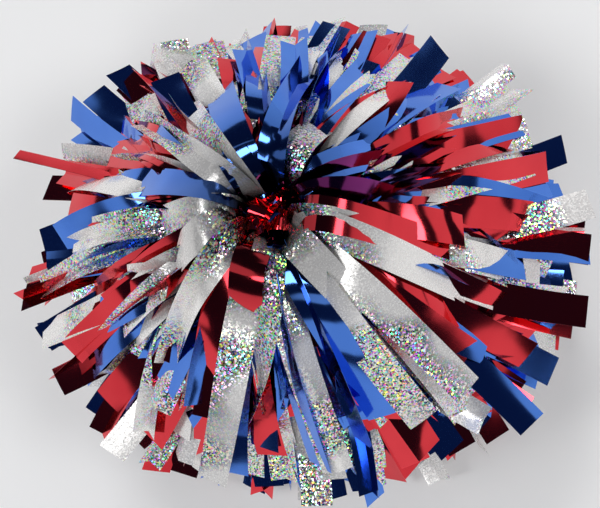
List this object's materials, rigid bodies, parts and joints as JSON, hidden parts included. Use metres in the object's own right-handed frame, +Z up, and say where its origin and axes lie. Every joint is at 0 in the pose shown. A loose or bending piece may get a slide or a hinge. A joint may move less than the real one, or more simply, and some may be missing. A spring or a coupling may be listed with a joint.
{
  "type": "cheer pom pom",
  "caption": "Cheerleading pom pom: red, blue and silver metallic film strands in two heads of flexing fans, bound to the ends of a baton grip.",
  "frame": {"origin": "on the surface that the pom stands on, under the middle of the baton", "axes": "+Z up along the baton; +X to the pom's right, its widest way; -Y towards the front"},
  "size_m": [0.3248, 0.2868, 0.2012],
  "materials": {
    "red_film": "metallised film, mirror gloss",
    "blue_film": "metallised film, mirror gloss",
    "silver_film": "holographic glitter-prism film",
    "baton_plastic": "moulded white plastic, satin",
    "grip_foam": "soft ribbed sleeve, matte",
    "tie_nylon": "natural nylon"
  },
  "bodies": {
    "baton": {"baton_tube": "baton_plastic", "grip_sleeve": "grip_foam", "upper_flange": "baton_plastic", "lower_flange": "baton_plastic", "upper_end_cap": "baton_plastic", "lower_end_cap": "baton_plastic", "upper_film_band": "blue_film", "lower_film_band": "blue_film", "upper_cable_tie": "tie_nylon", "lower_cable_tie": "tie_nylon", "centre_tuft": "red_film", "base_fringe_1": "silver_film", "base_fringe_2": "red_film", "base_fringe_3": "blue_film", "base_fringe_4": "silver_film", "base_fringe_5": "red_film", "base_fringe_6": "blue_film"},
    "crown_fan_1": {"crown_fringe_1": "blue_film"},
    "crown_fan_2": {"crown_fringe_2": "silver_film"},
    "crown_fan_3": {"crown_fringe_3": "red_film"},
    "crown_fan_4": {"crown_fringe_4": "blue_film"},
    "crown_fan_5": {"crown_fringe_5": "silver_film"},
    "crown_fan_6": {"crown_fringe_6": "red_film"},
    "shoulder_fan_1": {"shoulder_fringe_1": "silver_film"},
    "shoulder_fan_2": {"shoulder_fringe_2": "red_film"},
    "shoulder_fan_3": {"shoulder_fringe_3": "blue_film"},
    "shoulder_fan_4": {"shoulder_fringe_4": "silver_film"},
    "shoulder_fan_5": {"shoulder_fringe_5": "red_film"},
    "shoulder_fan_6": {"shoulder_fringe_6": "blue_film"},
    "flank_fan_1": {"flank_fringe_1": "red_film"},
    "flank_fan_2": {"flank_fringe_2": "blue_film"},
    "flank_fan_3": {"flank_fringe_3": "silver_film"},
    "flank_fan_4": {"flank_fringe_4": "red_film"},
    "flank_fan_5": {"flank_fringe_5": "blue_film"},
    "flank_fan_6": {"flank_fringe_6": "silver_film"},
    "lower_fan_1": {"lower_fringe_1": "blue_film"},
    "lower_fan_2": {"lower_fringe_2": "silver_film"},
    "lower_fan_3": {"lower_fringe_3": "red_film"},
    "lower_fan_4": {"lower_fringe_4": "blue_film"},
    "lower_fan_5": {"lower_fringe_5": "silver_film"},
    "lower_fan_6": {"lower_fringe_6": "red_film"}
  },
  "joints": [
    {"name": "crown_flex_1", "type": "hinge", "parent": "baton", "child": "crown_fan_1", "pos_m": [0.019, 0, 0.157], "axis": [0, -1, 0], "range_deg": [-8, 4], "stiffness_Nm_per_rad": 0.3},
    {"name": "crown_flex_2", "type": "hinge", "parent": "baton", "child": "crown_fan_2", "pos_m": [0.0095, 0.01645, 0.157], "axis": [0.866, -0.5, 0], "range_deg": [-8, 4], "stiffness_Nm_per_rad": 0.3},
    {"name": "crown_flex_3", "type": "hinge", "parent": "baton", "child": "crown_fan_3", "pos_m": [-0.0095, 0.01645, 0.157], "axis": [0.866, 0.5, 0], "range_deg": [-8, 4], "stiffness_Nm_per_rad": 0.3},
    {"name": "crown_flex_4", "type": "hinge", "parent": "baton", "child": "crown_fan_4", "pos_m": [-0.019, 0, 0.157], "axis": [0, 1, 0], "range_deg": [-8, 4], "stiffness_Nm_per_rad": 0.3},
    {"name": "crown_flex_5", "type": "hinge", "parent": "baton", "child": "crown_fan_5", "pos_m": [-0.0095, -0.01645, 0.157], "axis": [-0.866, 0.5, 0], "range_deg": [-8, 4], "stiffness_Nm_per_rad": 0.3},
    {"name": "crown_flex_6", "type": "hinge", "parent": "baton", "child": "crown_fan_6", "pos_m": [0.0095, -0.01645, 0.157], "axis": [-0.866, -0.5, 0], "range_deg": [-8, 4], "stiffness_Nm_per_rad": 0.3},
    {"name": "shoulder_flex_1", "type": "hinge", "parent": "baton", "child": "shoulder_fan_1", "pos_m": [0.01645, 0.0095, 0.1515], "axis": [0.5, -0.866, 0], "range_deg": [-8, 8], "stiffness_Nm_per_rad": 0.3},
    {"name": "shoulder_flex_2", "type": "hinge", "parent": "baton", "child": "shoulder_fan_2", "pos_m": [0, 0.019, 0.1515], "axis": [1, 0, 0], "range_deg": [-8, 8], "stiffness_Nm_per_rad": 0.3},
    {"name": "shoulder_flex_3", "type": "hinge", "parent": "baton", "child": "shoulder_fan_3", "pos_m": [-0.01645, 0.0095, 0.1515], "axis": [0.5, 0.866, 0], "range_deg": [-8, 8], "stiffness_Nm_per_rad": 0.3},
    {"name": "shoulder_flex_4", "type": "hinge", "parent": "baton", "child": "shoulder_fan_4", "pos_m": [-0.01645, -0.0095, 0.1515], "axis": [-0.5, 0.866, 0], "range_deg": [-8, 8], "stiffness_Nm_per_rad": 0.3},
    {"name": "shoulder_flex_5", "type": "hinge", "parent": "baton", "child": "shoulder_fan_5", "pos_m": [0, -0.019, 0.1515], "axis": [-1, 0, 0], "range_deg": [-8, 8], "stiffness_Nm_per_rad": 0.3},
    {"name": "shoulder_flex_6", "type": "hinge", "parent": "baton", "child": "shoulder_fan_6", "pos_m": [0.01645, -0.0095, 0.1515], "axis": [-0.5, -0.866, 0], "range_deg": [-8, 8], "stiffness_Nm_per_rad": 0.3},
    {"name": "flank_flex_1", "type": "hinge", "parent": "baton", "child": "flank_fan_1", "pos_m": [0.019, 0, 0.146], "axis": [0, -1, 0], "range_deg": [-8, 8], "stiffness_Nm_per_rad": 0.3},
    {"name": "flank_flex_2", "type": "hinge", "parent": "baton", "child": "flank_fan_2", "pos_m": [0.0095, 0.01645, 0.146], "axis": [0.866, -0.5, 0], "range_deg": [-8, 8], "stiffness_Nm_per_rad": 0.3},
    {"name": "flank_flex_3", "type": "hinge", "parent": "baton", "child": "flank_fan_3", "pos_m": [-0.0095, 0.01645, 0.146], "axis": [0.866, 0.5, 0], "range_deg": [-8, 8], "stiffness_Nm_per_rad": 0.3},
    {"name": "flank_flex_4", "type": "hinge", "parent": "baton", "child": "flank_fan_4", "pos_m": [-0.019, 0, 0.146], "axis": [0, 1, 0], "range_deg": [-8, 8], "stiffness_Nm_per_rad": 0.3},
    {"name": "flank_flex_5", "type": "hinge", "parent": "baton", "child": "flank_fan_5", "pos_m": [-0.0095, -0.01645, 0.146], "axis": [-0.866, 0.5, 0], "range_deg": [-8, 8], "stiffness_Nm_per_rad": 0.3},
    {"name": "flank_flex_6", "type": "hinge", "parent": "baton", "child": "flank_fan_6", "pos_m": [0.0095, -0.01645, 0.146], "axis": [-0.866, -0.5, 0], "range_deg": [-8, 8], "stiffness_Nm_per_rad": 0.3},
    {"name": "lower_flex_1", "type": "hinge", "parent": "baton", "child": "lower_fan_1", "pos_m": [0.019, 0, 0.05], "axis": [0, -1, 0], "range_deg": [-8, 8], "stiffness_Nm_per_rad": 0.3},
    {"name": "lower_flex_2", "type": "hinge", "parent": "baton", "child": "lower_fan_2", "pos_m": [0.0095, 0.01645, 0.05], "axis": [0.866, -0.5, 0], "range_deg": [-8, 8], "stiffness_Nm_per_rad": 0.3},
    {"name": "lower_flex_3", "type": "hinge", "parent": "baton", "child": "lower_fan_3", "pos_m": [-0.0095, 0.01645, 0.05], "axis": [0.866, 0.5, 0], "range_deg": [-8, 8], "stiffness_Nm_per_rad": 0.3},
    {"name": "lower_flex_4", "type": "hinge", "parent": "baton", "child": "lower_fan_4", "pos_m": [-0.019, 0, 0.05], "axis": [0, 1, 0], "range_deg": [-8, 8], "stiffness_Nm_per_rad": 0.3},
    {"name": "lower_flex_5", "type": "hinge", "parent": "baton", "child": "lower_fan_5", "pos_m": [-0.0095, -0.01645, 0.05], "axis": [-0.866, 0.5, 0], "range_deg": [-8, 8], "stiffness_Nm_per_rad": 0.3},
    {"name": "lower_flex_6", "type": "hinge", "parent": "baton", "child": "lower_fan_6", "pos_m": [0.0095, -0.01645, 0.05], "axis": [-0.866, -0.5, 0], "range_deg": [-8, 8], "stiffness_Nm_per_rad": 0.3}
  ]
}
